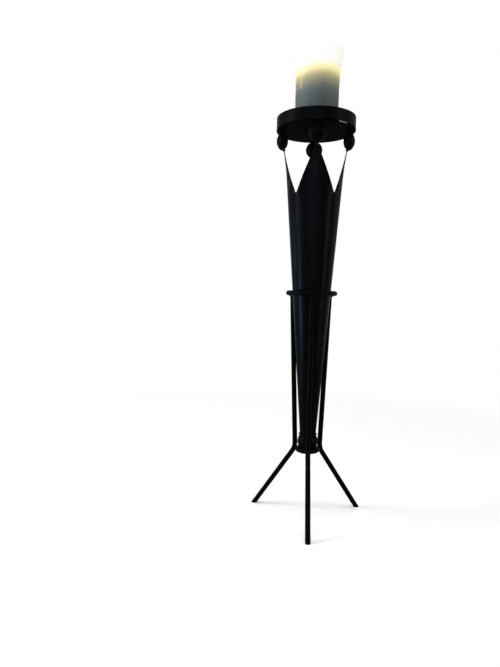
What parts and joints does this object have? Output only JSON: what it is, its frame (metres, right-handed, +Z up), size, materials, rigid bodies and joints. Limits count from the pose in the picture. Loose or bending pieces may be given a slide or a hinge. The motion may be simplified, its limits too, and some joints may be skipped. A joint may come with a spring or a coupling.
{
  "type": "torchere candle stand",
  "caption": "Black iron torch on a three-legged base: a pointed cone with a pronged crown under a round drip pan, holding a lit pillar candle.",
  "frame": {"origin": "on the floor, on the axis of the torch, at the centre of the circle through the three feet", "axes": "+Z up along the torch's axis; the front leg points to -Y and +X is to the right seen from the front"},
  "size_m": [0.2178, 0.1974, 0.8713],
  "materials": {
    "iron": "semi-gloss black paint over wrought iron",
    "weld": "painted weld bead",
    "wax": "ivory candle wax, satin, glowing near the flame",
    "wick": "burnt cotton wick",
    "tab": "thin tinplate"
  },
  "bodies": {
    "tripod": {"leg_front": "iron", "leg_right": "iron", "leg_left": "iron", "collar_ring": "iron", "cup_ring": "iron", "collar_welds": "weld", "cup_welds": "weld", "ring_seam_welds": "weld"},
    "torch": {"torch_cone": "iron", "cone_seam_weld": "weld", "finial_ball": "iron", "finial_weld": "weld", "ball_front": "iron", "ball_right": "iron", "ball_back": "iron", "ball_left": "iron", "petal_welds": "weld", "pan_ball_welds": "weld", "pan_floor": "iron", "pan_band": "iron", "pan_stitch_welds": "weld", "band_seam_weld": "weld"},
    "candle": {"candle_wax": "wax", "candle_wick": "wick", "wick_tab": "tab"}
  },
  "joints": [
    {"name": "torch_lift", "type": "slide", "parent": "tripod", "child": "torch", "axis": [0, 0, 1], "range_m": [0, 0.31]},
    {"name": "candle_lift", "type": "slide", "parent": "torch", "child": "candle", "axis": [0, 0, 1], "range_m": [0, 0.12]}
  ]
}
